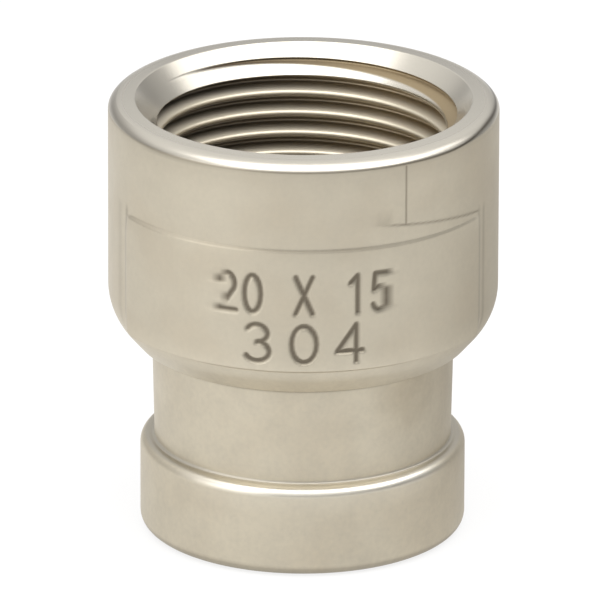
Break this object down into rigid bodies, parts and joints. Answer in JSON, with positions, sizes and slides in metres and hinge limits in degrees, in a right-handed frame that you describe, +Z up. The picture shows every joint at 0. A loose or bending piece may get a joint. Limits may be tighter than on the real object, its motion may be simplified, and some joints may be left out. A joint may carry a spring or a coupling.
{
  "type": "reducing coupling",
  "caption": "Straight pipe coupling cast in one piece, with a large female-threaded socket that steps down through a shoulder and neck to a smaller banded female-threaded socket.",
  "frame": {"origin": "centre of the ring face at the small end, on which the coupling stands", "axes": "+Z up the common axis of both sockets, towards the large mouth; -Y towards the raised marking pad"},
  "size_m": [0.033, 0.0331, 0.038],
  "materials": {
    "cast_steel": "satin, blasted casting with machined rims and threads"
  },
  "bodies": {
    "root": {"coupling_body": "cast_steel"}
  },
  "joints": []
}
